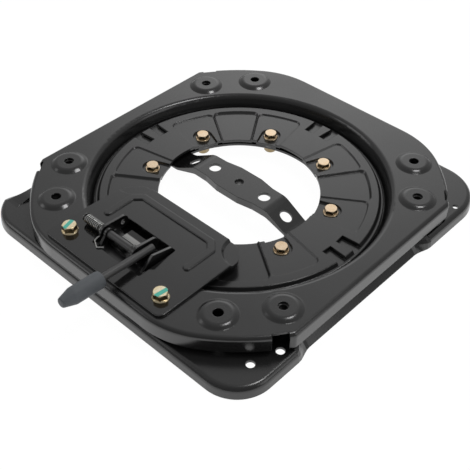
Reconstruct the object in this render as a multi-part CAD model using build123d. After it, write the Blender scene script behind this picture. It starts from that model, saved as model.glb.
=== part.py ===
from build123d import *
import os
from math import atan2, cos, degrees, radians, sin, sqrt, tan

os.makedirs("parts", exist_ok=True)

# Sheet and running fits, all in millimetres
SHEET = 3.0
RUN_GAP = 0.3
FIT_GAP = 0.05
BOLT_GAP = 0.25
OVER = 1.0

# Hexagon heads and nuts
CROWN_SHARE = 0.56
CROWN_CHAMFER = 1.0
FLANGE_CHAMFER_SHARE = 0.6
RING_BOLTS = 8

# Lower plate
FLOOR_TOP = 13.0
RAIL_TOP = 16.0
BASE_HALF_X = 193.0
BASE_FRONT = 205.0
BASE_BACK = 203.0
BASE_RIGHT_CORNER = 41.0
BASE_LEFT_CORNER = 50.0
BASE_BACK_CORNER = 52.0
BASE_DRAFT = 5.0
BASE_BEND = 6.0
BEND_SHARE = 0.29
BASE_HOLE_R = 96.0
WAIST_FOOT_X = 188.0
WAIST_TOP_X = 174.0
WAIST_LEAN = 1.33
RAIL_INNER_X = 162.0
RIGHT_WAIST_FRONT = -103.0
LEFT_WAIST_FRONT = -159.0
WAIST_BACK = 68.0
EAR_RUN = 21.0
RUN_STEPS = 5
BASE_BOLT_X = 168.4
BASE_BOLT_FRONT = -163.8
BASE_BOLT_BACK = 130.0
BASE_BOLT_R = 4.5
FRONT_EAR_HOLE = (177.8, -133.5)
BACK_EAR_HOLE = (182.5, 148.5)
BACK_EAR_HOLE_R = 3.2

# Upper plate
PLATE_TOP = 35.0
FLANGE_BOTTOM = 17.0
PLATE_R = 224.5
PLATE_HALF_X = 187.5
PLATE_FRONT = 204.0
PLATE_BACK = 200.0
PLATE_BLEND = 100.0
PLATE_CORNER = 5.0
PLATE_BEND = 4.5
NOTCH_R = 219.5
NOTCH_ANGLE = 37.0
NOTCH_WIDTH = 16.5
WELL_RIM_R = 164.5
WELL_FOOT_R = 159.0
WELL_INNER_R = 118.0
WELL_FLOOR_TOP = 18.0
WELL_BEND = 6.0
WELL_EDGE_R = 172.0
WELL_FOOT_ROUND = 2.0
WELL_UNDER_ROUND = 4.0
WELL_WALL_SHIFT = 2.0
BOSS_R = 20.0
BOSS_TOP_R = 15.0
BOSS_RISE = 3.0
BOSS_FOOT_ROUND = 1.2
BOSS_TOP_ROUND = 8.0
BOSS_HOLE_R = 5.3
BOSS_MARGIN = 3.0
LONG_BOSS_X = 119.5
LONG_BOSS_Y = 155.0
WIDE_BOSS_X = 157.5
WIDE_BOSS_Y = 107.5
LOCK_CUT_X = 44.0
LOCK_CUT_FRONT = -178.0
LOCK_CUT_BACK = -155.0

# Seat weld nuts, M10
SEAT_NUT_FLATS = 17.0
SEAT_NUT_HEIGHT = 8.0
SEAT_NUT_BORE_R = 4.3

# Retaining ring
LAND_TOP = 26.0
PANEL_TAPER = 40.0
POCKET_TAPER = 20.0
LIP_TOP = 22.0
RING_INNER_R = 88.5
LAND_OUTER_R = 151.5
LIP_INNER_R = 154.0
RING_OUTER_R = 157.0
RING_ROUND = 1.2
SECTOR = 22.5
BOLT_PANEL_DEPTH = 1.5
BOLT_PANEL_R = 141.0
DIAGONAL_DEPTH = 2.5
DIAGONAL_R = 143.5
PANEL_CORNER = 7.0
POCKET_R = 12.0
RING_BOLT_R = 104.0
TONGUE_ANGLE = 4.55
TONGUE_WIDTH = 12.0
TONGUE_INNER_R = 131.0

# Slide rings
SLIDE_INNER_R = 119.0
SLIDE_OUTER_R = 156.5

# Ring fasteners, M8
M8_R = 4.0
M8_FLATS = 13.0
M8_FLANGE_R = 8.5
M8_FLANGE_H = 1.3
RING_HEAD_TOP = 28.0
RING_NUT_H = 6.5
RING_BOLT_END = 2.0
SPACER_R = 9.0

# Cross bar
BAR_TOP = 33.0
BAR_PLATEAU_X = 53.0
BAR_FOOT_X = 83.0
BAR_END_X = 113.0
BAR_BEND = 18.0
BAR_MID_W = 20.0
BAR_WAIST_W = 16.5
BAR_END_W = 15.4
BAR_MID_X = 15.0
BAR_WAIST_X = 34.0
BAR_ROLL = 6.0
BAR_PLAN_ROUND = 14.0
BAR_HOLE_MID_R = 5.0
BAR_HOLE_R = 6.75
BAR_HOLE_X = 36.5
BAR_SLOPE_HOLE_R = 6.5
BAR_SLOPE_HOLE_X = 67.5
BAR_NUT_H = 8.0

# Lock plate
LOCK_TOP = 38.0
LOCK_HALF_X = 85.5
LOCK_FRONT = -197.0
LOCK_BACK = -76.5
LOCK_CORNER = 8.0
LOCK_EDGE_ROUND = 0.8
LOCK_BACK_LEFT = -80.5
LOCK_CHAMFER = 15.0
BEAD_LEFT = -59.5
BEAD_RIGHT = 57.5
BEAD_FRONT = -138.5
BEAD_BACK = -92.5
BEAD_CHAMFER = 9.0
BEAD_HALF = 4.3
BEAD_RISE = 1.8
BEAD_ROUND = 1.3
BEAD_CORNER = 3.0
BEAD_WALL = 1.8
DISH_R = 26.0
DISH_DEPTH = 3.0
DISH_WALL = 40.0
DISH_LEFT = (-80.0, -76.0)
DISH_RIGHT = (84.0, -77.0)
WINDOW_LEFT = -38.0
WINDOW_RIGHT = 32.0
WINDOW_FRONT = -174.0
WINDOW_BACK = -125.0
WINDOW_CORNER = 2.0

# Lock plate fasteners, M10
M10_R = 5.0
M10_FLATS = 14.0
M10_FLANGE_R = 8.7
M10_FLANGE_H = 1.8
LOCK_HEAD_TURN = 12.0
LOCK_BOLT_X = 67.2
LOCK_BOLT_Y = -178.0
LOCK_HEAD_TOP = 46.0
LOCK_NUT_H = 8.0
LOCK_BOLT_END = 21.0

# Lever pivot
PIVOT_Y = -158.5
PIN_CHAMFER = 0.6
EAR_FOOT_IN = 1.0
EAR_HIP_BACK = 5.0
EAR_HIP_DROP = 3.0
WING_LAP = 4.0
WING_TIP = 6.0
PIVOT_Z = 45.0
PIN_R = 3.0
PIN_LEFT = -66.0
PIN_RIGHT = 13.8
SLEEVE_R = 4.3
STRAP_HALF_X = 41.0
STRAP_FRONT = -177.5
STRAP_BACK = -163.5
EAR_T = 3.0
FIXED_EAR_LEFT = -30.5
FIXED_EAR_RIGHT = 6.5
FIXED_EAR_R = 6.0
WING_X = 26.0
WING_FRONT = -152.0
WING_BACK = -127.0
WING_TOP_FRONT = 47.5
WING_TOP_BACK = 41.5
CLIP_R = 4.4
CLIP_T = 0.8
CLIP_X = -64.6

# Torsion spring
WIRE_R = 0.85
COIL_R = 4.3
COIL_PITCH = 2.3
COIL_LEFT = -61.5
COIL_TURNS = 11
HOOK_X = -27.0
HOOK_Y = -176.5
HOOK_BEND = 5.0
HOOK_DROP = 9.0

# Lever carrier and pawl
CARRIER_LEFT = -35.0
CARRIER_RIGHT = 11.0
CARRIER_BOSS_R = 8.0
LOBE_Y = -137.0
LOBE_Z = 44.5
LOBE_R = 7.0
LOBE_HOLE_R = 3.0
RIGHT_LOBE_Y = -138.0
RIGHT_LOBE_Z = 43.5
WEB_FRONT = -152.0
WEB_BACK = -146.0
WEB_BOTTOM = 38.6
WEB_TOP = 41.0
PAWL_LEFT = -17.0
PAWL_TOP = 43.6
PAWL_FRONT = -151.8
PAWL_BACK = -139.6
PAWL_T = 4.0
PAWL_HALF_X = 17.0
PAWL_PLATE_BACK = -139.5
LEVER_STROKE = 13.0
PAWL_SHOULDER = 31.5
PAWL_FOOT = 27.5
TOOTH_WIDTH = 10.5
TOOTH_TIP = 22.6

# Lever rod and grip
ROD_R = 4.0
ROD_START = (18.1, -142.0, 45.7)
ROD_THROUGH = (18.1, -253.0, 52.6)
ROD_LENGTH = 100.0
ROD_END_ROUND = 1.2
GRIP_START = 66.0
GRIP_LENGTH = 47.0
GRIP_R = 8.8
GRIP_NOSE = 14.0
GRIP_NOSE_R = 4.8
GRIP_COLLAR = 3.0
GRIP_LIP = 0.6
GRIP_SHOULDER_ROUND = 10.0
GRIP_END_ROUND = 2.0


def slab(x0, x1, y0, y1, z0, z1):
    """A plain block between two corners."""
    size = (x1 - x0, y1 - y0, z1 - z0)
    centre = ((x0 + x1) / 2, (y0 + y1) / 2, (z0 + z1) / 2)
    return Pos(*centre) * Box(*size)


def post(x, y, r, z0, z1):
    """An upright cylinder."""
    return Pos(x, y, (z0 + z1) / 2) * Cylinder(r, z1 - z0)


def along_x(x0, x1, r, y=PIVOT_Y, z=PIVOT_Z):
    """A cylinder along the lever's pivot line, or along another line beside it."""
    return Pos((x0 + x1) / 2, y, z) * Rot(0, 90, 0) * Cylinder(r, x1 - x0)


def spun(points, rounds=None):
    """A body of revolution round the vertical axis; rounds gives a radius by point number."""
    face = make_face(Polyline(*points, close=True))
    for number, radius in (rounds or {}).items():
        r, z = points[number]
        corner = face.vertices().sort_by_distance((r, z, 0))[0]
        face = fillet(corner, radius)
    return revolve(Plane.XZ * face, Axis.Z)


def side_plate(points, x0, x1):
    """A plate across the pivot line, from its outline as (y, z) pairs."""
    face = make_face(Polyline(*points, close=True))
    return Pos(x0, 0, 0) * extrude(Plane.YZ * face, x1 - x0)


def polar(r, angle):
    """The point at a radius and an angle in degrees."""
    return (r * cos(radians(angle)), r * sin(radians(angle)))


def wedge(r0, r1, angle, half):
    """A flat sector between two radii, centred on an angle."""
    tip = [polar(2 * r1, angle - half), polar(2 * r1, angle), polar(2 * r1, angle + half)]
    fan = make_face(Polyline((0, 0), *tip, close=True))
    return (Circle(r1) - Circle(r0)) & fan


def hexagon(flats):
    """A hexagon by its width across flats."""
    return RegularPolygon(flats / 2, 6, major_radius=False)


def hex_bolt(radius, flats, flange_r, flange_h, head_h, length):
    """A flanged bolt whose flange rests on z = 0."""
    head = extrude(hexagon(flats), head_h)
    crown = Pos(0, 0, head_h / 2) * Cylinder(flats * CROWN_SHARE, head_h)
    crown = chamfer(crown.edges().sort_by(Axis.Z)[-1], CROWN_CHAMFER)
    flange = Pos(0, 0, flange_h / 2) * Cylinder(flange_r, flange_h)
    flange = chamfer(flange.edges().sort_by(Axis.Z)[-1], flange_h * FLANGE_CHAMFER_SHARE)
    shank = Pos(0, 0, -length / 2) * Cylinder(radius, length)
    shank = chamfer(shank.edges().sort_by(Axis.Z)[0], CROWN_CHAMFER)
    return (head & crown) + flange + shank


def hex_nut(bore_r, flats, height):
    """A nut that hangs below z = 0."""
    body = extrude(hexagon(flats), -height)
    crown = Pos(0, 0, -height / 2) * Cylinder(flats * CROWN_SHARE, height)
    crown = chamfer(crown.edges().sort_by(Axis.Z)[0], CROWN_CHAMFER)
    bore = Pos(0, 0, -height / 2) * Cylinder(bore_r, height + 2 * OVER)
    return (body & crown) - bore


def ring_spots():
    """The ring bolts' places, as (x, y, angle)."""
    angles = [SECTOR + 2 * SECTOR * k for k in range(RING_BOLTS)]
    return [(*polar(RING_BOLT_R, angle), angle) for angle in angles]


def base_outline(inset):
    """The lower plate's outline at the ground."""
    depth = BASE_FRONT + BASE_BACK - 2 * inset
    shape = Rectangle(2 * (BASE_HALF_X - inset), depth)
    shape = Pos(0, (BASE_BACK - BASE_FRONT) / 2) * shape
    right = shape.vertices().group_by(Axis.Y)[0].sort_by(Axis.X)[-1]
    shape = fillet(right, BASE_RIGHT_CORNER - inset)
    left = shape.vertices().group_by(Axis.Y)[0].sort_by(Axis.X)[0]
    shape = fillet(left, BASE_LEFT_CORNER - inset)
    return fillet(shape.vertices().group_by(Axis.Y)[-1], BASE_BACK_CORNER - inset)


def ear_profile(side, y, inset):
    """The lower plate's edge across an ear, as (x, z) pairs from the ground up."""
    corner = BASE_RIGHT_CORNER if side > 0 else BASE_LEFT_CORNER
    top = FLOOR_TOP - inset
    bend = BASE_BEND - inset
    lean = tan(radians(BASE_DRAFT))
    into = max(0, corner - BASE_FRONT - y)
    radius = corner - inset
    foot = BASE_HALF_X - corner + sqrt(radius * radius - into * into)
    return [
        (foot, -OVER),
        (foot, 0),
        (foot - lean * (top - bend), top - bend),
        (foot - lean * top - BEND_SHARE * bend, top - BEND_SHARE * bend),
        (foot - lean * top - bend, top),
    ]


def waist_profile(inset):
    """The lower plate's edge across the narrow waist, as (x, z) pairs from the ground up."""
    top = RAIL_TOP - inset
    foot = WAIST_FOOT_X - inset * WAIST_LEAN
    slope = (WAIST_FOOT_X - WAIST_TOP_X) / RAIL_TOP
    levels = (0, top / 2, top * (1 - BEND_SHARE / 2), top)
    return [(foot, -OVER), *[(foot - slope * z, z) for z in levels]]


def side_section(side, y, share, inset):
    """A cross-section of a side: an ear where share is 0 and the waist where it is 1."""
    inner = RAIL_INNER_X + inset
    pairs = zip(ear_profile(side, y, inset), waist_profile(inset))
    outer = [(a + (c - a) * share, b + (d - b) * share) for (a, b), (c, d) in pairs]
    points = [(inner, -OVER), *outer, (inner, outer[-1][1])]
    return make_face(Polyline(*[(side * x, z) for x, z in points], close=True))


def side_form(side, ends, inset):
    """One side from its front ear through the waist to its back ear."""
    front, waist_front, waist_back, back = ends
    steps = [step / RUN_STEPS for step in range(RUN_STEPS + 1)]
    sections = []
    for part in steps:
        place = Plane.XZ.offset(-(front + (waist_front - front) * part))
        share = part * part * (3 - 2 * part)
        sections.append(place * side_section(side, front, share, inset))
    for part in reversed(steps):
        place = Plane.XZ.offset(-(back + (waist_back - back) * part))
        share = part * part * (3 - 2 * part)
        sections.append(place * side_section(side, back, share, inset))
    return loft(sections, ruled=True)


def base_form(inset):
    """The lower plate's outer form, or its hollow where an inset is given."""
    body = extrude(base_outline(inset), FLOOR_TOP - inset, taper=BASE_DRAFT)
    body = fillet(body.edges().group_by(Axis.Z)[-1], BASE_BEND - inset)
    if inset:
        body += extrude(base_outline(inset), -OVER)
    for side, waist_front in ((1, RIGHT_WAIST_FRONT), (-1, LEFT_WAIST_FRONT)):
        ends = (waist_front - EAR_RUN, waist_front, WAIST_BACK, WAIST_BACK + EAR_RUN)
        xs = sorted((side * (RAIL_INNER_X + inset + OVER), side * 2 * BASE_HALF_X))
        body -= slab(*xs, ends[0], ends[-1], -2 * OVER, PLATE_TOP)
        body += side_form(side, ends, inset)
    return body


def lower_plate():
    """The pressed lower plate."""
    body = base_form(0)
    body &= slab(-2 * BASE_HALF_X, 2 * BASE_HALF_X, -2 * BASE_FRONT, 2 * BASE_BACK, 0, PLATE_TOP)
    body -= base_form(SHEET)
    body -= post(0, 0, BASE_HOLE_R, -OVER, PLATE_TOP)
    for x, y, angle in ring_spots():
        body -= post(x, y, M8_R + BOLT_GAP, 0, FLOOR_TOP + OVER)
    for sx in (-1, 1):
        for y in (BASE_BOLT_FRONT, BASE_BOLT_BACK):
            body -= post(sx * BASE_BOLT_X, y, BASE_BOLT_R, 0, FLOOR_TOP + OVER)
    body -= post(*FRONT_EAR_HOLE, BASE_BOLT_R, 0, FLOOR_TOP + OVER)
    body -= post(*BACK_EAR_HOLE, BACK_EAR_HOLE_R, 0, FLOOR_TOP + OVER)
    return body


def plate_outline():
    """The upper plate's outline: a circle with four flat sides."""
    box = Rectangle(2 * PLATE_HALF_X, PLATE_FRONT + PLATE_BACK)
    shape = Circle(PLATE_R) & Pos(0, (PLATE_BACK - PLATE_FRONT) / 2) * box
    ends = [v for v in shape.vertices() if abs(v.Y) > PLATE_BACK - OVER]
    shape = fillet(ends, PLATE_BLEND)
    corners = [v for v in shape.vertices() if abs(v.X) > PLATE_HALF_X - OVER]
    return fillet(corners, PLATE_CORNER)


def boss_form(z):
    """A boss with rounded edges on the level z, solid below it."""
    points = [
        (0, z - OVER),
        (BOSS_R + BOSS_MARGIN, z - OVER),
        (BOSS_R + BOSS_MARGIN, z),
        (BOSS_R, z),
        (BOSS_TOP_R, z + BOSS_RISE),
        (0, z + BOSS_RISE),
    ]
    return spun(points, {3: BOSS_FOOT_ROUND, 4: BOSS_TOP_ROUND})


def boss_recess(z):
    """The hollow under a boss."""
    points = [
        (0, z - OVER),
        (BOSS_R, z - OVER),
        (BOSS_R, z),
        (BOSS_TOP_R, z + BOSS_RISE),
        (0, z + BOSS_RISE),
    ]
    return spun(points)


def well():
    """The round well with its rounded rim, as one turned sheet."""
    under = SHEET
    points = [
        (WELL_EDGE_R, PLATE_TOP),
        (WELL_RIM_R, PLATE_TOP),
        (WELL_FOOT_R, WELL_FLOOR_TOP),
        (WELL_INNER_R, WELL_FLOOR_TOP),
        (WELL_INNER_R, WELL_FLOOR_TOP - under),
        (WELL_FOOT_R + WELL_WALL_SHIFT, WELL_FLOOR_TOP - under),
        (WELL_RIM_R + WELL_WALL_SHIFT, PLATE_TOP - under),
        (WELL_EDGE_R, PLATE_TOP - under),
    ]
    return spun(points, {1: WELL_BEND, 2: WELL_FOOT_ROUND, 5: WELL_UNDER_ROUND, 6: WELL_FOOT_ROUND})


def boss_spots():
    """The eight bosses' places."""
    pairs = ((LONG_BOSS_X, LONG_BOSS_Y), (WIDE_BOSS_X, WIDE_BOSS_Y))
    return [(sx * x, sy * y) for x, y in pairs for sx in (-1, 1) for sy in (-1, 1)]


def upper_plate():
    """The pressed upper plate with its folded rim."""
    outline = plate_outline()
    outer = Pos(0, 0, FLANGE_BOTTOM) * extrude(outline, PLATE_TOP - FLANGE_BOTTOM)
    outer = fillet(outer.edges().group_by(Axis.Z)[-1], PLATE_BEND)
    inner = extrude(offset(outline, -SHEET), PLATE_TOP - FLANGE_BOTTOM - SHEET + OVER)
    inner = Pos(0, 0, FLANGE_BOTTOM - OVER) * inner
    inner = fillet(inner.edges().group_by(Axis.Z)[-1], PLATE_BEND - SHEET)
    body = outer - inner
    body -= post(0, 0, WELL_EDGE_R, 0, PLATE_TOP + OVER)
    body += well()
    for x, y in boss_spots():
        body += Pos(x, y, 0) * boss_form(PLATE_TOP)
    for x, y in boss_spots():
        body -= Pos(x, y, 0) * boss_recess(PLATE_TOP - SHEET)
        body -= post(x, y, BOSS_HOLE_R, 0, LOCK_TOP + OVER)
    half = NOTCH_WIDTH / 2
    notch = slab(NOTCH_R, PLATE_R + OVER, -half, half, 0, PLATE_TOP + OVER)
    for angle in (NOTCH_ANGLE, 180 - NOTCH_ANGLE, 180 + NOTCH_ANGLE, -NOTCH_ANGLE):
        body -= Rot(0, 0, angle) * notch
    for sx in (-1, 1):
        body -= post(sx * LOCK_BOLT_X, LOCK_BOLT_Y, M10_R + BOLT_GAP, 0, PLATE_TOP + OVER)
    body -= slab(-LOCK_CUT_X, LOCK_CUT_X, LOCK_CUT_FRONT, LOCK_CUT_BACK, 0, PLATE_TOP + OVER)
    return body


def seat_weld_nuts():
    """Nuts welded under the wide bosses."""
    nut = hex_nut(SEAT_NUT_BORE_R, SEAT_NUT_FLATS, SEAT_NUT_HEIGHT)
    spots = [(sx * WIDE_BOSS_X, sy * WIDE_BOSS_Y) for sx in (-1, 1) for sy in (-1, 1)]
    return [Pos(x, y, PLATE_TOP) * nut for x, y in spots]


def panel(angle, outer_r, depth):
    """A sunken sector: what is cut from the top and what is added below."""
    flat = wedge(RING_INNER_R - SHEET, outer_r, angle, SECTOR / 2)
    corners = flat.vertices().sort_by(SortBy.DISTANCE)[-2:]
    flat = fillet(corners, PANEL_CORNER)
    cut = Pos(0, 0, LAND_TOP) * extrude(flat, -depth, taper=PANEL_TAPER)
    below = Pos(0, 0, LAND_TOP - SHEET - depth) * extrude(flat, depth)
    return cut, below


def pocket(x, y, angle):
    """The hollow round a ring bolt, open to the ring's inner edge."""
    reach = RING_BOLT_R - RING_INNER_R + SHEET
    flat = Circle(POCKET_R) + Pos(-reach / 2, 0) * Rectangle(reach, 2 * POCKET_R)
    return Pos(x, y, 0) * Rot(0, 0, angle) * flat


def retaining_ring():
    """The pressed retaining ring."""
    land_low = LAND_TOP - SHEET
    lip_low = LIP_TOP - SHEET
    points = [
        (RING_INNER_R, LAND_TOP),
        (LAND_OUTER_R, LAND_TOP),
        (LIP_INNER_R, LIP_TOP),
        (RING_OUTER_R, LIP_TOP),
        (RING_OUTER_R, lip_low),
        (LIP_INNER_R - SHEET, lip_low),
        (LAND_OUTER_R - SHEET, land_low),
        (RING_INNER_R, land_low),
    ]
    body = spun(points, {1: RING_ROUND, 2: RING_ROUND, 3: RING_ROUND, 5: RING_ROUND})
    panels = []
    for number in range(2 * RING_BOLTS):
        angle = number * SECTOR
        if number % 4 == 2:
            panels.append(panel(angle, DIAGONAL_R, DIAGONAL_DEPTH))
        elif number % 2:
            panels.append(panel(angle, BOLT_PANEL_R, BOLT_PANEL_DEPTH))
    hole = post(0, 0, RING_INNER_R, 0, PLATE_TOP)
    pockets = [pocket(*spot) for spot in ring_spots()]
    for cut, below in panels:
        body += below - hole
    for flat in pockets:
        body += Pos(0, 0, lip_low) * extrude(flat, LAND_TOP - BOLT_PANEL_DEPTH - lip_low) - hole
    for cut, below in panels:
        body -= cut
    for flat in pockets:
        body -= Pos(0, 0, LAND_TOP) * extrude(flat, LIP_TOP - LAND_TOP, taper=POCKET_TAPER)
    for x, y, angle in ring_spots():
        body -= post(x, y, M8_R + BOLT_GAP, 0, PLATE_TOP)
    for quarter in range(4):
        for side in (-1, 1):
            turn = Rot(0, 0, 90 * quarter + side * TONGUE_ANGLE)
            half = TONGUE_WIDTH / 2
            body -= turn * slab(TONGUE_INNER_R, LIP_INNER_R, -half, half, 0, PLATE_TOP)
            body += turn * slab(TONGUE_INNER_R, LIP_INNER_R + OVER, -half, half, lip_low, LIP_TOP)
    return body


def flat_ring(r0, r1, z0, z1):
    """A flat ring."""
    return Pos(0, 0, z0) * extrude(Circle(r1) - Circle(r0), z1 - z0)


def lower_slide_ring():
    """The slide ring under the well."""
    top = WELL_FLOOR_TOP - SHEET - RUN_GAP
    return flat_ring(SLIDE_INNER_R, SLIDE_OUTER_R, FLOOR_TOP, top)


def upper_slide_ring():
    """The slide ring between the well and the retaining ring."""
    return flat_ring(SLIDE_INNER_R, SLIDE_OUTER_R, WELL_FLOOR_TOP + RUN_GAP, LIP_TOP - SHEET)


def ring_bolts():
    """The bolts that clamp the retaining ring."""
    bolt = hex_bolt(M8_R, M8_FLATS, M8_FLANGE_R, M8_FLANGE_H, RING_HEAD_TOP - LIP_TOP,
                    LIP_TOP - RING_BOLT_END)
    return [Pos(x, y, LIP_TOP) * Rot(0, 0, angle) * bolt for x, y, angle in ring_spots()]


def ring_nuts():
    """The nuts under the lower plate."""
    nut = hex_nut(M8_R + FIT_GAP, M8_FLATS, RING_NUT_H)
    return [Pos(x, y, FLOOR_TOP - SHEET) * Rot(0, 0, angle) * nut for x, y, angle in ring_spots()]


def ring_spacers():
    """The spacers between the lower plate and the retaining ring."""
    flat = Circle(SPACER_R) - Circle(M8_R + BOLT_GAP)
    spacer = extrude(flat, LIP_TOP - SHEET - FLOOR_TOP)
    return [Pos(x, y, FLOOR_TOP) * spacer for x, y, angle in ring_spots()]


def bar_plan(inset):
    """The cross bar's outline from above."""
    right = [
        (BAR_MID_X, BAR_MID_W - inset),
        (BAR_WAIST_X, BAR_WAIST_W - inset),
        (BAR_FOOT_X, BAR_END_W - inset),
        (BAR_END_X, BAR_END_W - inset),
    ]
    left = [(-x, y) for x, y in reversed(right)]
    low = [(x, -y) for x, y in reversed(right)]
    low_left = [(-x, -y) for x, y in right]
    face = make_face(Polyline(*left, *right, *low, *low_left, close=True))
    inner = [v for v in face.vertices() if abs(v.X) < BAR_WAIST_X + OVER]
    return fillet(inner, BAR_PLAN_ROUND)


def bar_side(drop, low, thick):
    """The cross bar's form from the side, lowered by a drop."""
    end = BAR_END_X + OVER
    top = [
        (-end, RAIL_TOP - drop),
        (-BAR_FOOT_X, RAIL_TOP - drop),
        (-BAR_PLATEAU_X, BAR_TOP - drop),
        (BAR_PLATEAU_X, BAR_TOP - drop),
        (BAR_FOOT_X, RAIL_TOP - drop),
        (end, RAIL_TOP - drop),
    ]
    bottom = [(x, max(z - thick, low)) for x, z in reversed(top)]
    face = make_face(Polyline(*top, *bottom, close=True))
    bends = [v for v in face.vertices() if BAR_FOOT_X + OVER > abs(v.X) > OVER]
    face = fillet(bends, BAR_BEND)
    return Pos(0, 2 * BAR_MID_W, 0) * extrude(Plane.XZ * face, 4 * BAR_MID_W)


def cross_bar():
    """The pressed bar across the centre hole."""
    outer = extrude(bar_plan(0), PLATE_TOP + OVER) & bar_side(0, FLOOR_TOP, BAR_ROLL + SHEET)
    inner = extrude(bar_plan(SHEET), PLATE_TOP + OVER)
    inner &= bar_side(SHEET, FLOOR_TOP - OVER, BAR_ROLL + 2 * SHEET)
    body = outer - inner
    body -= post(0, 0, BAR_HOLE_MID_R, 0, PLATE_TOP)
    for side in (-1, 1):
        body -= post(side * BAR_HOLE_X, 0, BAR_HOLE_R, 0, PLATE_TOP)
        body -= post(side * BAR_SLOPE_HOLE_X, 0, BAR_SLOPE_HOLE_R, 0, PLATE_TOP)
    return body


def bar_weld_nut():
    """The nut welded under the middle of the cross bar."""
    return Pos(0, 0, BAR_TOP - SHEET) * hex_nut(M8_R + FIT_GAP, M8_FLATS, BAR_NUT_H)


def lock_outline():
    """The lock plate's outline."""
    points = [
        (-LOCK_HALF_X, LOCK_FRONT),
        (LOCK_HALF_X, LOCK_FRONT),
        (LOCK_HALF_X, LOCK_BACK - LOCK_CHAMFER),
        (LOCK_HALF_X - LOCK_CHAMFER, LOCK_BACK),
        (LOCK_BACK_LEFT + LOCK_CHAMFER, LOCK_BACK),
        (LOCK_BACK_LEFT, LOCK_BACK - LOCK_CHAMFER),
    ]
    face = make_face(Polyline(*points, close=True))
    return fillet(face.vertices(), LOCK_CORNER)


def bead_outline(half):
    """The U-shaped outline of the lock plate's bead, by half its width."""
    points = [
        (BEAD_LEFT, LOCK_FRONT),
        (BEAD_LEFT, BEAD_BACK - BEAD_CHAMFER),
        (BEAD_LEFT + BEAD_CHAMFER, BEAD_BACK),
        (BEAD_RIGHT - BEAD_CHAMFER, BEAD_BACK),
        (BEAD_RIGHT, BEAD_BACK - BEAD_CHAMFER),
        (BEAD_RIGHT, LOCK_FRONT),
    ]
    middle = make_face(Polyline(*points, close=True))
    sharp = Kind.INTERSECTION
    band = offset(middle, half, kind=sharp) - offset(middle, -half, kind=sharp)
    reach = LOCK_BACK - BEAD_FRONT
    band &= Pos(0, BEAD_FRONT + reach / 2) * Rectangle(2 * LOCK_HALF_X, reach)
    ends = [v for v in band.vertices() if v.Y < BEAD_FRONT + OVER]
    band = fillet(ends, half - FIT_GAP)
    bends = [v for v in band.vertices() if v.Y > BEAD_FRONT + 2 * half]
    return fillet(bends, BEAD_CORNER)


def lock_plate():
    """The pressed plate that carries the lever."""
    low = LOCK_TOP - SHEET
    outline = lock_outline()
    body = Pos(0, 0, low) * extrude(outline, SHEET)
    body = fillet(body.edges().group_by(Axis.Z)[-1], LOCK_EDGE_ROUND)
    bead = Pos(0, 0, low) * extrude(bead_outline(BEAD_HALF), SHEET + BEAD_RISE)
    body += fillet(bead.edges().group_by(Axis.Z)[-1], BEAD_ROUND)
    body -= Pos(0, 0, low) * extrude(bead_outline(BEAD_HALF - BEAD_WALL), BEAD_RISE)
    for x, y in (DISH_LEFT, DISH_RIGHT):
        under = Pos(0, 0, low - DISH_DEPTH) * extrude(outline, DISH_DEPTH)
        body += under & post(x, y, DISH_R, low - DISH_DEPTH, low)
        body -= Pos(x, y, LOCK_TOP) * extrude(Circle(DISH_R), -DISH_DEPTH, taper=DISH_WALL)
    window = RectangleRounded(WINDOW_RIGHT - WINDOW_LEFT, WINDOW_BACK - WINDOW_FRONT, WINDOW_CORNER)
    centre = ((WINDOW_LEFT + WINDOW_RIGHT) / 2, (WINDOW_FRONT + WINDOW_BACK) / 2, 0)
    body -= Pos(*centre) * extrude(window, LOCK_TOP + OVER)
    for side in (-1, 1):
        body -= post(side * LOCK_BOLT_X, LOCK_BOLT_Y, M10_R + BOLT_GAP, 0, LOCK_TOP + OVER)
    return body


def lock_bolt(side):
    """A bolt of the lock plate."""
    bolt = hex_bolt(M10_R, M10_FLATS, M10_FLANGE_R, M10_FLANGE_H, LOCK_HEAD_TOP - LOCK_TOP,
                    LOCK_TOP - LOCK_BOLT_END)
    return Pos(side * LOCK_BOLT_X, LOCK_BOLT_Y, LOCK_TOP) * Rot(0, 0, LOCK_HEAD_TURN * side) * bolt


def lock_nuts():
    """The nuts under the lock plate's bolts."""
    nut = hex_nut(M10_R + FIT_GAP, M10_FLATS, LOCK_NUT_H)
    low = PLATE_TOP - SHEET
    return [Pos(side * LOCK_BOLT_X, LOCK_BOLT_Y, low) * nut for side in (-1, 1)]


def fixed_ear(x0):
    """An ear of the pivot bracket, from the strap up round the pin."""
    low = PLATE_TOP
    points = [(WINDOW_FRONT + EAR_FOOT_IN, low), (PIVOT_Y - FIXED_EAR_R, PIVOT_Z), (PIVOT_Y, PIVOT_Z),
              (PIVOT_Y + EAR_HIP_BACK, PIVOT_Z - EAR_HIP_DROP), (STRAP_BACK, low)]
    ear = side_plate(points, x0, x0 + EAR_T)
    return ear + along_x(x0, x0 + EAR_T, FIXED_EAR_R)


def pivot_bracket():
    """The bracket under the lock plate that holds the pin."""
    low = LOCK_TOP - 2 * SHEET
    body = slab(-STRAP_HALF_X, STRAP_HALF_X, STRAP_FRONT, STRAP_BACK, low, low + SHEET)
    body += fixed_ear(FIXED_EAR_LEFT)
    body += fixed_ear(FIXED_EAR_RIGHT)
    root = STRAP_BACK - WING_LAP
    wing = [(root, low), (root, low + SHEET), (WING_FRONT, WING_TOP_FRONT),
            (WING_BACK, WING_TOP_BACK), (WING_BACK, WING_TOP_BACK - WING_TIP), (WING_FRONT, low)]
    body += side_plate(wing, WING_X, WING_X + EAR_T)
    body -= along_x(FIXED_EAR_LEFT - OVER, FIXED_EAR_RIGHT + EAR_T + OVER, PIN_R + FIT_GAP)
    return body


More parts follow.
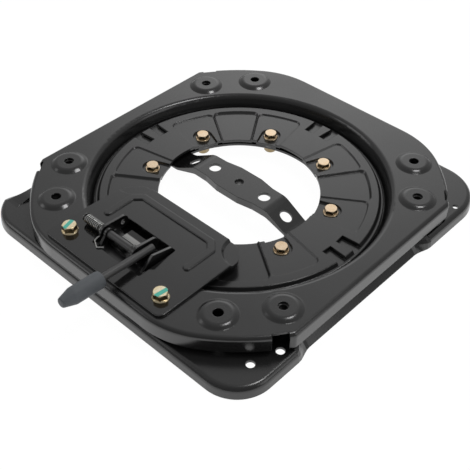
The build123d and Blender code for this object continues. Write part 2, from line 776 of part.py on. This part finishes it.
def pivot_pin():
    """The pin of the lever and its spring."""
    pin = along_x(PIN_LEFT, PIN_RIGHT, PIN_R)
    pin = chamfer(pin.edges().sort_by(Axis.X)[0], PIN_CHAMFER)
    half = WIRE_R + FIT_GAP
    slot_end = COIL_LEFT + 2 * WIRE_R
    low, high = PIVOT_Z - 2 * PIN_R, PIVOT_Z + 2 * PIN_R
    return pin - slab(PIN_LEFT - OVER, slot_end, PIVOT_Y - half, PIVOT_Y + half, low, high)


def pivot_sleeve():
    """The sleeve between the bracket's ears."""
    x0 = FIXED_EAR_LEFT + EAR_T + FIT_GAP
    x1 = FIXED_EAR_RIGHT - FIT_GAP
    return along_x(x0, x1, SLEEVE_R) - along_x(x0 - OVER, x1 + OVER, PIN_R + FIT_GAP)


def pin_clip():
    """The clip on the pin's free end."""
    x1 = CLIP_X + CLIP_T
    return along_x(CLIP_X, x1, CLIP_R) - along_x(CLIP_X - OVER, x1 + OVER, PIN_R + FIT_GAP)


def wire(points, bend):
    """A round wire through the given points."""
    path = FilletPolyline(*points, radius=bend)
    start = Plane(origin=path @ 0, z_dir=path % 0)
    return sweep(start * Circle(WIRE_R), path=path)


def torsion_spring():
    """The return spring: a tang in the pin's slot, close coils and a leg hooked on the lock plate."""
    length = COIL_TURNS * COIL_PITCH
    low = PIVOT_Z - COIL_R
    coil = Helix(COIL_PITCH, length, COIL_R, direction=(1, 0, 0), lefthand=True)
    start = coil @ 0
    turn = 270 - degrees(atan2(start.Z, start.Y))
    coil = Pos(COIL_LEFT, PIVOT_Y, PIVOT_Z) * Rot(turn, 0, 0) * coil
    body = sweep(Plane(origin=coil @ 0, z_dir=coil % 0) * Circle(WIRE_R), path=coil)
    rest = LOCK_TOP + WIRE_R + FIT_GAP
    end = COIL_LEFT + length
    leg = [
        (end, PIVOT_Y + WIRE_R, low),
        (end, PIVOT_Y - HOOK_DROP, low),
        (end, HOOK_Y + HOOK_BEND, rest),
        (HOOK_X, HOOK_Y, rest),
        (HOOK_X + HOOK_BEND, HOOK_Y + HOOK_BEND, rest),
    ]
    body += wire(leg, HOOK_BEND / 4)
    body += post(COIL_LEFT, PIVOT_Y, WIRE_R, low, PIVOT_Z + COIL_R - 2 * WIRE_R)
    return body


def ear_with_lobe(x0, y, z, hole_r):
    """A side ear of the carrier, from the pin back to a rounded lobe."""
    x1 = x0 + EAR_T
    points = [(PIVOT_Y, PIVOT_Z + CARRIER_BOSS_R), (y, z + LOBE_R), (y + LOBE_R, z),
              (y, z - LOBE_R), (PIVOT_Y, PIVOT_Z - CARRIER_BOSS_R)]
    ear = side_plate(points, x0, x1)
    ear += along_x(x0, x1, CARRIER_BOSS_R)
    ear += along_x(x0, x1, LOBE_R, y, z)
    if hole_r:
        ear -= along_x(x0 - OVER, x1 + OVER, hole_r, y, z)
    return ear


def lever_carrier():
    """The bracket that turns on the pin and carries the pawl."""
    body = ear_with_lobe(CARRIER_LEFT, LOBE_Y, LOBE_Z, LOBE_HOLE_R)
    body += ear_with_lobe(CARRIER_RIGHT, RIGHT_LOBE_Y, RIGHT_LOBE_Z, 0)
    right = CARRIER_RIGHT + EAR_T
    body += slab(CARRIER_LEFT, right, WEB_FRONT, WEB_BACK, WEB_BOTTOM, WEB_TOP)
    body -= along_x(CARRIER_LEFT - OVER, right + OVER, PIN_R + FIT_GAP)
    return body


def lock_pawl():
    """The pawl, shaped in its engaged place and then turned back to the released one."""
    right = CARRIER_RIGHT - RUN_GAP
    front = PAWL_BACK - PAWL_T
    blade = slab(PAWL_LEFT, right, front, PAWL_BACK, PAWL_FOOT, PIVOT_Z)
    blade += slab(-PAWL_HALF_X, PAWL_HALF_X, front, PAWL_BACK, PAWL_FOOT, PAWL_SHOULDER)
    centre = -(PAWL_BACK + front) / 2 * sin(radians(TONGUE_ANGLE))
    half = TOOTH_WIDTH / 2
    for side in (-1, 1):
        x = side * centre
        blade += slab(x - half, x + half, front, PAWL_BACK, TOOTH_TIP, PAWL_FOOT)
    pivot = Pos(0, PIVOT_Y, PIVOT_Z)
    blade = pivot * Rot(LEVER_STROKE, 0, 0) * pivot.inverse() * blade
    blade &= slab(-PAWL_HALF_X, PAWL_HALF_X, PAWL_FRONT, 0, 0, PAWL_TOP)
    return blade + slab(PAWL_LEFT, right, PAWL_FRONT, PAWL_PLATE_BACK, WEB_TOP, PAWL_TOP)


def rod_plane():
    """The plane across the rod at its welded end."""
    step = Vector(*ROD_THROUGH) - Vector(*ROD_START)
    return Plane(origin=ROD_START, z_dir=step)


def lever_rod():
    """The lever's rod."""
    rod = Pos(0, 0, ROD_LENGTH / 2) * Cylinder(ROD_R, ROD_LENGTH)
    rod = fillet(rod.edges().sort_by(Axis.Z)[0], ROD_END_ROUND)
    return rod_plane() * rod


def lever_grip():
    """The rubber grip with its tapered nose."""
    end = GRIP_START + GRIP_LENGTH
    nose = end - GRIP_NOSE
    blind = ROD_LENGTH + RUN_GAP
    points = [
        (ROD_R + FIT_GAP, GRIP_START),
        (GRIP_R - GRIP_LIP, GRIP_START),
        (GRIP_R, GRIP_START + GRIP_COLLAR),
        (GRIP_R, nose),
        (GRIP_NOSE_R, end),
        (0, end),
        (0, blind),
        (ROD_R + FIT_GAP, blind),
    ]
    grip = spun(points, {1: GRIP_LIP, 3: GRIP_SHOULDER_ROUND, 4: GRIP_END_ROUND})
    return rod_plane() * grip


def save(name, shape):
    """Write one node."""
    if isinstance(shape, (list, tuple)):
        shape = Compound(children=list(shape))
    export_step(shape, "parts/" + name + ".step")


save("lower_plate", lower_plate())
save("cross_bar", cross_bar())
save("bar_weld_nut", bar_weld_nut())
save("retaining_ring", retaining_ring())
save("ring_bolts", ring_bolts())
save("ring_nuts", ring_nuts())
save("ring_spacers", ring_spacers())
save("lower_slide_ring", lower_slide_ring())
save("upper_slide_ring", upper_slide_ring())
save("upper_plate", upper_plate())
save("seat_weld_nuts", seat_weld_nuts())
save("lock_plate", lock_plate())
save("lock_bolt_left", lock_bolt(-1))
save("lock_bolt_right", lock_bolt(1))
save("lock_nuts", lock_nuts())
save("pivot_bracket", pivot_bracket())
save("pivot_pin", pivot_pin())
save("pivot_sleeve", pivot_sleeve())
save("pin_clip", pin_clip())
save("torsion_spring", torsion_spring())
save("lever_carrier", lever_carrier())
save("lock_pawl", lock_pawl())
save("lever_rod", lever_rod())
save("lever_grip", lever_grip())
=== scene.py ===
import math

import bpy
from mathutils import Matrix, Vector

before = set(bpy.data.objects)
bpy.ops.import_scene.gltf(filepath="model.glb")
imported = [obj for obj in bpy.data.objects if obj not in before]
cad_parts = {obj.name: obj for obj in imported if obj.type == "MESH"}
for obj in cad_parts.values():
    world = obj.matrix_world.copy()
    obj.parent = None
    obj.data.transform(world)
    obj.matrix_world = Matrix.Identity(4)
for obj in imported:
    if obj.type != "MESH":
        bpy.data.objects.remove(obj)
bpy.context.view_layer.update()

# Camera: place and target in metres, lens and sensor in millimetres
CAMERA_PLACE = (0.50094, -0.53418, 0.63325)
CAMERA_TARGET = (0.05136, -0.06073, 0.028)
CAMERA_LENS = 66.73
SENSOR_WIDTH = 36.0

# The sky's brightest spot, and the sky's light by the angle from that spot in degrees
GLOW_TURN = math.radians(127.0)
GLOW_RISE = math.radians(27.0)
HALF_TURN = 180.0
GLOW = (
    (0, 1.6),
    (9, 1.46),
    (13, 1.12),
    (17, 0.82),
    (22, 0.62),
    (30, 0.5),
    (50, 0.43),
    (90, 0.28),
    (180, 0.13),
)

# Area lamps, as name, place, size and power, all turned to one target
LAMPS = (
    ("overhead", (0.40, 0.47, 1.9), (0.5, 0.5), 7.0),
    ("left_fill", (-2.0, -1.6, 1.6), (1.2, 1.2), 5.0),
    ("right_fill", (2.4, 0.8, 1.3), (1.2, 1.6), 6.0),
)
LAMP_TARGET = (0.0, 0.0, 0.02)

# Floor: half its width, its tone, its own light, and the share of that light in what is seen
FLOOR_HALF = 8.0
FLOOR_TONE = (0.86, 0.86, 0.86, 1.0)
FLOOR_ROUGH = 0.9
FLOOR_LIGHT = 1.05
FLOOR_SHARE = 0.93

# The lever's pin line, and how far from it the spring's wire turns from a painted shade between
# the coils to bright steel
PIVOT_Y = -0.1585
PIVOT_Z = 0.045
COIL_SHADE_DEPTH = (0.0046, 0.0051)

# Paint marks on the lock bolts: turn, half width, middle of the bolt and lowest height
MARK_PAINT = (0.10, 0.60, 0.47)
MARK_LOW = 0.0456
MARK_FADE = 0.0002
MARK_SOFT = 0.15
MARK_LEFT = (0.26, 0.0022, (-0.0682, -0.178, 0.0))
MARK_RIGHT = (-0.12, 0.0024, (0.0692, -0.178, 0.0))

# Where the pawl's top turns from bright steel to a dark tone along y; the dark tone is partly
# blackened steel and partly painted shade
PAWL_SHADE_RANGE = (-0.1462, -0.1448)
PAWL_BLACKENED_SHADE = (0.05, 0.05, 0.05)

# Zinc tones, and the painted shade given to the faces that aren't level
ZINC_TONES = ((0.72, 0.54, 0.36), (0.82, 0.66, 0.48), (0.68, 0.50, 0.30))
ZINC_SIDE_SHADE = (0.15, 0.12, 0.05)
HEAD_TONES = ((0.95, 0.80, 0.52), (0.98, 0.90, 0.70), (0.92, 0.68, 0.32))
HEAD_SIDE_SHADE = (0.42, 0.28, 0.09)
PIN_TONES = ((0.16, 0.16, 0.16), (0.24, 0.24, 0.24), (0.12, 0.12, 0.12))


def material(name):
    """A new material with its node tree and main shader."""
    mat = bpy.data.materials.new(name)
    mat.use_nodes = True
    tree = mat.node_tree
    return mat, tree, tree.nodes["Principled BSDF"]


def node(tree, kind, **values):
    """A node with its settings and plain input values."""
    made = tree.nodes.new(kind)
    for key, value in values.items():
        if hasattr(made, key):
            setattr(made, key, value)
        else:
            made.inputs[key.replace("_", " ")].default_value = value
    return made


def math_node(tree, operation, *sockets):
    """A maths node fed by sockets."""
    made = node(tree, "ShaderNodeMath", operation=operation)
    for number, socket in enumerate(sockets):
        tree.links.new(socket, made.inputs[number])
    return made.outputs[0]


def vector_node(tree, operation, socket, constant):
    """A vector maths node between a socket and a constant vector."""
    made = node(tree, "ShaderNodeVectorMath", operation=operation)
    tree.links.new(socket, made.inputs[0])
    made.inputs[1].default_value = constant
    return made


def object_point(tree, scale=(1, 1, 1)):
    """The point on the object, in metres, scaled."""
    coord = tree.nodes.new("ShaderNodeTexCoord")
    mapping = tree.nodes.new("ShaderNodeMapping")
    mapping.inputs["Scale"].default_value = scale
    tree.links.new(coord.outputs["Object"], mapping.inputs["Vector"])
    return mapping.outputs["Vector"]


def axis_of(tree, vector, axis):
    """One axis of a vector, by its letter."""
    parts = tree.nodes.new("ShaderNodeSeparateXYZ")
    tree.links.new(vector, parts.inputs[0])
    return parts.outputs[axis]


def noise(tree, point, scale, detail=3.0, rough=0.5):
    """A noise value from 0 to 1."""
    made = node(tree, "ShaderNodeTexNoise", Scale=scale, Detail=detail, Roughness=rough)
    tree.links.new(point, made.inputs["Vector"])
    return made.outputs["Fac"]


def spread(tree, value, low, high, out_low, out_high):
    """A value moved from one range to another, kept inside it."""
    made = node(tree, "ShaderNodeMapRange")
    keys = ("From Min", "From Max", "To Min", "To Max")
    for key, number in zip(keys, (low, high, out_low, out_high)):
        made.inputs[key].default_value = number
    tree.links.new(value, made.inputs["Value"])
    return made.outputs["Result"]


def mix_colours(tree, factor, first, second):
    """Two colours, or colour sockets, mixed by a value."""
    made = node(tree, "ShaderNodeMix", data_type="RGBA")
    tree.links.new(factor, made.inputs["Factor"])
    for key, colour in ((6, first), (7, second)):
        if isinstance(colour, tuple):
            made.inputs[key].default_value = (*colour, 1.0)
        else:
            tree.links.new(colour, made.inputs[key])
    return made.outputs[2]


def rounded_normal(tree, radius):
    """The surface normal with its edges rounded."""
    bevel = node(tree, "ShaderNodeBevel", samples=6)
    bevel.inputs["Radius"].default_value = radius
    return bevel.outputs["Normal"]


def edge_amount(tree, rounded, low=0.02, high=0.25):
    """How close a point is to an edge, from 0 to 1."""
    geometry = tree.nodes.new("ShaderNodeNewGeometry")
    dot = node(tree, "ShaderNodeVectorMath", operation="DOT_PRODUCT")
    tree.links.new(rounded, dot.inputs[0])
    tree.links.new(geometry.outputs["Normal"], dot.inputs[1])
    return spread(tree, dot.outputs["Value"], 1.0 - low, 1.0 - high, 0.0, 1.0)


def bump(tree, height, strength, distance, normal=None):
    """A bump from a height value, on top of another normal."""
    made = node(tree, "ShaderNodeBump")
    made.inputs["Strength"].default_value = strength
    made.inputs["Distance"].default_value = distance
    tree.links.new(height, made.inputs["Height"])
    if normal is not None:
        tree.links.new(normal, made.inputs["Normal"])
    return made.outputs["Normal"]


def coated_steel(name, dark, light, rough=(0.17, 0.25), grain=0.03):
    """Coated pressed steel: a fine orange peel, soft sheen changes, dust specks and a painted
    highlight along the edges.
    """
    mat, tree, shader = material(name)
    point = object_point(tree)
    cloud = noise(tree, point, 14.0, 4.0)
    peel = noise(tree, point, 900.0, 2.0)
    dust = noise(tree, point, 2600.0, 2.0, 0.7)
    rounded = rounded_normal(tree, 0.0009)
    amount = edge_amount(tree, rounded)
    dusty = tuple(2.2 * c for c in light)
    # Painted highlight: a paler tone mixed in along the edges.
    painted_light = tuple(2.6 * c for c in light)
    body = mix_colours(tree, spread(tree, cloud, 0.35, 0.65, 0.0, 1.0), dark, light)
    speck = mix_colours(tree, spread(tree, dust, 0.62, 0.8, 0.0, 0.35), body, dusty)
    painted_edge_highlight = mix_colours(tree, spread(tree, amount, 0.0, 1.0, 0.0, 0.55), speck, painted_light)
    tree.links.new(painted_edge_highlight, shader.inputs["Base Color"])
    tree.links.new(spread(tree, cloud, 0.3, 0.7, *rough), shader.inputs["Roughness"])
    tree.links.new(bump(tree, peel, grain, 0.0004, rounded), shader.inputs["Normal"])
    shader.inputs["Specular IOR Level"].default_value = 0.8
    return mat


def paint_mask(tree, mark):
    """Where a paint stripe lies on the top of a bolt head, from 0 to 1."""
    turn, half, middle = mark
    place = object_point(tree)
    across = vector_node(tree, "SUBTRACT", place, middle)
    direction = (math.cos(turn), math.sin(turn), 0.0)
    line = vector_node(tree, "DOT_PRODUCT", across.outputs[0], direction)
    away = math_node(tree, "ABSOLUTE", line.outputs["Value"])
    near = spread(tree, away, half * (1 - MARK_SOFT), half * (1 + MARK_SOFT), 1.0, 0.0)
    top = spread(tree, axis_of(tree, place, "Z"), MARK_LOW, MARK_LOW + MARK_FADE, 0.0, 1.0)
    return math_node(tree, "MULTIPLY", near, top)


def plated_steel(name, tones, rough=(0.2, 0.34), mark=None, side_shade=None):
    """Plated steel with drifting tones, a paint mark and a painted shade on the faces that aren't
    level.
    """
    mat, tree, shader = material(name)
    point = object_point(tree)
    drift = noise(tree, point, 160.0, 3.0)
    fine = noise(tree, point, 1500.0, 3.0)
    rounded = rounded_normal(tree, 0.0004)
    colour = mix_colours(tree, spread(tree, drift, 0.35, 0.65, 0.0, 1.0), tones[0], tones[1])
    colour = mix_colours(tree, spread(tree, fine, 0.5, 0.75, 0.0, 0.4), colour, tones[2])
    shader.inputs["Metallic"].default_value = 1.0
    # Painted shade: faces that aren't level get a darker tone.
    if side_shade:
        geometry = tree.nodes.new("ShaderNodeNewGeometry")
        level = axis_of(tree, geometry.outputs["Normal"], "Z")
        colour = mix_colours(tree, spread(tree, level, 0.55, 0.9, 0.75, 0.0), colour, side_shade)
    if mark:
        mask = paint_mask(tree, mark)
        colour = mix_colours(tree, mask, colour, MARK_PAINT)
        tree.links.new(spread(tree, mask, 0.0, 1.0, 1.0, 0.0), shader.inputs["Metallic"])
    tree.links.new(colour, shader.inputs["Base Color"])
    tree.links.new(spread(tree, drift, 0.3, 0.7, *rough), shader.inputs["Roughness"])
    tree.links.new(bump(tree, fine, 0.05, 0.0002, rounded), shader.inputs["Normal"])
    return mat


def brushed_steel(name, dark, light, rough=(0.3, 0.45), painted_light=None):
    """Bare steel with fine lines along x; the optional y range is where bright steel turns to a
    dark tone that is partly blackened steel and partly painted shade.
    """
    mat, tree, shader = material(name)
    lines = noise(tree, object_point(tree, (30.0, 900.0, 900.0)), 1.0, 4.0, 0.6)
    rounded = rounded_normal(tree, 0.0004)
    colour = mix_colours(tree, lines, dark, light)
    # Painted shade, partly blackened steel: the top darkens past a y range.
    if painted_light:
        place = axis_of(tree, object_point(tree), "Y")
        colour = mix_colours(tree, spread(tree, place, *painted_light, 0.0, 1.0), colour, PAWL_BLACKENED_SHADE)
    tree.links.new(colour, shader.inputs["Base Color"])
    shader.inputs["Metallic"].default_value = 1.0
    tree.links.new(spread(tree, lines, 0.3, 0.7, *rough), shader.inputs["Roughness"])
    tree.links.new(bump(tree, lines, 0.15, 0.0003, rounded), shader.inputs["Normal"])
    return mat


def coil_steel(name, dark, light):
    """Oiled spring wire: bright steel on the crests of the coils and a painted shade between them.
    """
    mat, tree, shader = material(name)
    point = object_point(tree)
    drift = noise(tree, point, 300.0, 3.0)
    middle = vector_node(tree, "SUBTRACT", point, (0.0, PIVOT_Y, PIVOT_Z))
    across = vector_node(tree, "MULTIPLY", middle.outputs[0], (0.0, 1.0, 1.0))
    radius = node(tree, "ShaderNodeVectorMath", operation="LENGTH")
    tree.links.new(across.outputs[0], radius.inputs[0])
    # Painted shade: the wire darkens towards the pin line, between the coils.
    gap_shade_to_crest = spread(tree, radius.outputs["Value"], *COIL_SHADE_DEPTH, 0.0, 1.0)
    tree.links.new(mix_colours(tree, gap_shade_to_crest, dark, light), shader.inputs["Base Color"])
    shader.inputs["Metallic"].default_value = 1.0
    tree.links.new(spread(tree, drift, 0.3, 0.7, 0.22, 0.32), shader.inputs["Roughness"])
    tree.links.new(bump(tree, drift, 0.05, 0.0002), shader.inputs["Normal"])
    return mat


def rubber(name, dark, light):
    """Moulded rubber or plastic with a matt grain and a little bloom."""
    mat, tree, shader = material(name)
    point = object_point(tree)
    cloud = noise(tree, point, 60.0, 3.0)
    grain = noise(tree, point, 2400.0, 3.0, 0.6)
    bloom = spread(tree, cloud, 0.35, 0.65, 0.0, 1.0)
    tree.links.new(mix_colours(tree, bloom, dark, light), shader.inputs["Base Color"])
    tree.links.new(spread(tree, cloud, 0.3, 0.7, 0.5, 0.62), shader.inputs["Roughness"])
    tree.links.new(bump(tree, grain, 0.12, 0.0003), shader.inputs["Normal"])
    return mat


BLACK = coated_steel("black_coat", (0.009, 0.009, 0.0092), (0.013, 0.013, 0.0132))
LOCK_COAT = coated_steel("lock_coat", (0.007, 0.007, 0.0072), (0.010, 0.010, 0.0102),
                         rough=(0.08, 0.13), grain=0.015)
DARK_BRACKET = coated_steel("bracket_coat", (0.006, 0.006, 0.0062), (0.009, 0.009, 0.0092),
                            rough=(0.2, 0.28))
ROD = coated_steel("rod_coat", (0.024, 0.024, 0.024), (0.034, 0.034, 0.034), rough=(0.32, 0.42))
ZINC = plated_steel("yellow_zinc", ZINC_TONES, side_shade=ZINC_SIDE_SHADE)
ZINC_LEFT = plated_steel("yellow_zinc_left", HEAD_TONES, mark=MARK_LEFT, side_shade=HEAD_SIDE_SHADE)
ZINC_RIGHT = plated_steel("yellow_zinc_right", HEAD_TONES, mark=MARK_RIGHT, side_shade=HEAD_SIDE_SHADE)
STEEL = brushed_steel("bare_steel", (0.12, 0.12, 0.12), (0.24, 0.24, 0.24))
PAWL = brushed_steel("pawl_steel", (0.14, 0.14, 0.14), (0.46, 0.46, 0.45),
                     rough=(0.24, 0.36), painted_light=PAWL_SHADE_RANGE)
PIN = plated_steel("pin_steel", PIN_TONES, rough=(0.25, 0.36))
# The dark tone is the painted shade between the coils.
COIL = coil_steel("coil_steel", (0.012, 0.012, 0.012), (0.50, 0.50, 0.49))
SLIDE = rubber("slide_plastic", (0.02, 0.02, 0.02), (0.03, 0.03, 0.03))
GRIP = rubber("grip_rubber", (0.100, 0.110, 0.120), (0.120, 0.130, 0.142))

FINISH = {
    "lower_plate": BLACK,
    "upper_plate": BLACK,
    "retaining_ring": BLACK,
    "cross_bar": BLACK,
    "lock_plate": LOCK_COAT,
    "bar_weld_nut": STEEL,
    "pivot_bracket": DARK_BRACKET,
    "lever_carrier": DARK_BRACKET,
    "pivot_sleeve": ROD,
    "lever_rod": ROD,
    "ring_bolts": ZINC,
    "ring_nuts": ZINC,
    "lock_nuts": ZINC,
    "lock_bolt_left": ZINC_LEFT,
    "lock_bolt_right": ZINC_RIGHT,
    "ring_spacers": STEEL,
    "seat_weld_nuts": STEEL,
    "lock_pawl": PAWL,
    "pin_clip": PIN,
    "pivot_pin": PIN,
    "torsion_spring": COIL,
    "lower_slide_ring": SLIDE,
    "upper_slide_ring": SLIDE,
    "lever_grip": GRIP,
}

for name, finish in FINISH.items():
    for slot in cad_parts[name].material_slots:
        slot.material = finish


def floor():
    """A large pale floor that stays white in the picture and keeps a soft shadow."""
    mesh = bpy.data.meshes.new("floor")
    half = FLOOR_HALF
    corners = [(-half, -half, 0), (half, -half, 0), (half, half, 0), (-half, half, 0)]
    mesh.from_pydata(corners, [], [(0, 1, 2, 3)])
    obj = bpy.data.objects.new("floor", mesh)
    bpy.context.collection.objects.link(obj)
    mat, tree, shader = material("floor_white")
    shader.inputs["Base Color"].default_value = FLOOR_TONE
    shader.inputs["Roughness"].default_value = FLOOR_ROUGH
    shader.inputs["Specular IOR Level"].default_value = 0.0
    glow = node(tree, "ShaderNodeEmission", Strength=FLOOR_LIGHT)
    path = tree.nodes.new("ShaderNodeLightPath")
    seen = math_node(tree, "MAXIMUM", path.outputs["Is Camera Ray"], path.outputs["Is Glossy Ray"])
    share = spread(tree, seen, 0.0, 1.0, 0.0, FLOOR_SHARE)
    mixer = tree.nodes.new("ShaderNodeMixShader")
    tree.links.new(share, mixer.inputs[0])
    tree.links.new(shader.outputs[0], mixer.inputs[1])
    tree.links.new(glow.outputs[0], mixer.inputs[2])
    tree.links.new(mixer.outputs[0], tree.nodes["Material Output"].inputs["Surface"])
    mesh.materials.append(mat)


def soft_box(name, place, size, power):
    """An area lamp at a place, turned to the target."""
    light = bpy.data.lights.new(name, "AREA")
    light.shape = "RECTANGLE"
    light.size, light.size_y = size
    light.energy = power
    obj = bpy.data.objects.new(name, light)
    bpy.context.collection.objects.link(obj)
    obj.location = place
    aim = Vector(LAMP_TARGET) - obj.location
    obj.rotation_euler = aim.to_track_quat("-Z", "Y").to_euler()


def sky():
    """A world that glows most behind the object and is a plain pale grey to the camera."""
    world = bpy.data.worlds.new("studio")
    bpy.context.scene.world = world
    world.use_nodes = True
    tree = world.node_tree
    back = tree.nodes["Background"]
    coord = tree.nodes.new("ShaderNodeTexCoord")
    level = math.cos(GLOW_RISE)
    spot = (level * math.cos(GLOW_TURN), level * math.sin(GLOW_TURN), math.sin(GLOW_RISE))
    toward = vector_node(tree, "DOT_PRODUCT", coord.outputs["Generated"], spot)
    away = math_node(tree, "ARCCOSINE", toward.outputs["Value"])
    ramp = tree.nodes.new("ShaderNodeValToRGB")
    tree.links.new(spread(tree, away, 0.0, math.pi, 0.0, 1.0), ramp.inputs[0])
    while len(ramp.color_ramp.elements) < len(GLOW):
        ramp.color_ramp.elements.new(0.5)
    for element, (angle, light) in zip(ramp.color_ramp.elements, GLOW):
        element.position = angle / HALF_TURN
        element.color = (light, light, light, 1)
    tree.links.new(ramp.outputs["Color"], back.inputs["Color"])
    back.inputs["Strength"].default_value = 1.0
    path = tree.nodes.new("ShaderNodeLightPath")
    plain = node(tree, "ShaderNodeBackground", Strength=1.0)
    mixer = tree.nodes.new("ShaderNodeMixShader")
    tree.links.new(path.outputs["Is Camera Ray"], mixer.inputs[0])
    tree.links.new(back.outputs[0], mixer.inputs[1])
    tree.links.new(plain.outputs[0], mixer.inputs[2])
    tree.links.new(mixer.outputs[0], tree.nodes["World Output"].inputs["Surface"])


def camera():
    """The camera at the photograph's place."""
    data = bpy.data.cameras.new("camera")
    data.lens = CAMERA_LENS
    data.sensor_width = SENSOR_WIDTH
    obj = bpy.data.objects.new("camera", data)
    bpy.context.collection.objects.link(obj)
    obj.location = CAMERA_PLACE
    aim = Vector(CAMERA_TARGET) - obj.location
    obj.rotation_euler = aim.to_track_quat("-Z", "Y").to_euler()
    bpy.context.scene.camera = obj


floor()
sky()
for lamp in LAMPS:
    soft_box(*lamp)
camera()
bpy.context.scene.view_settings.view_transform = "Standard"
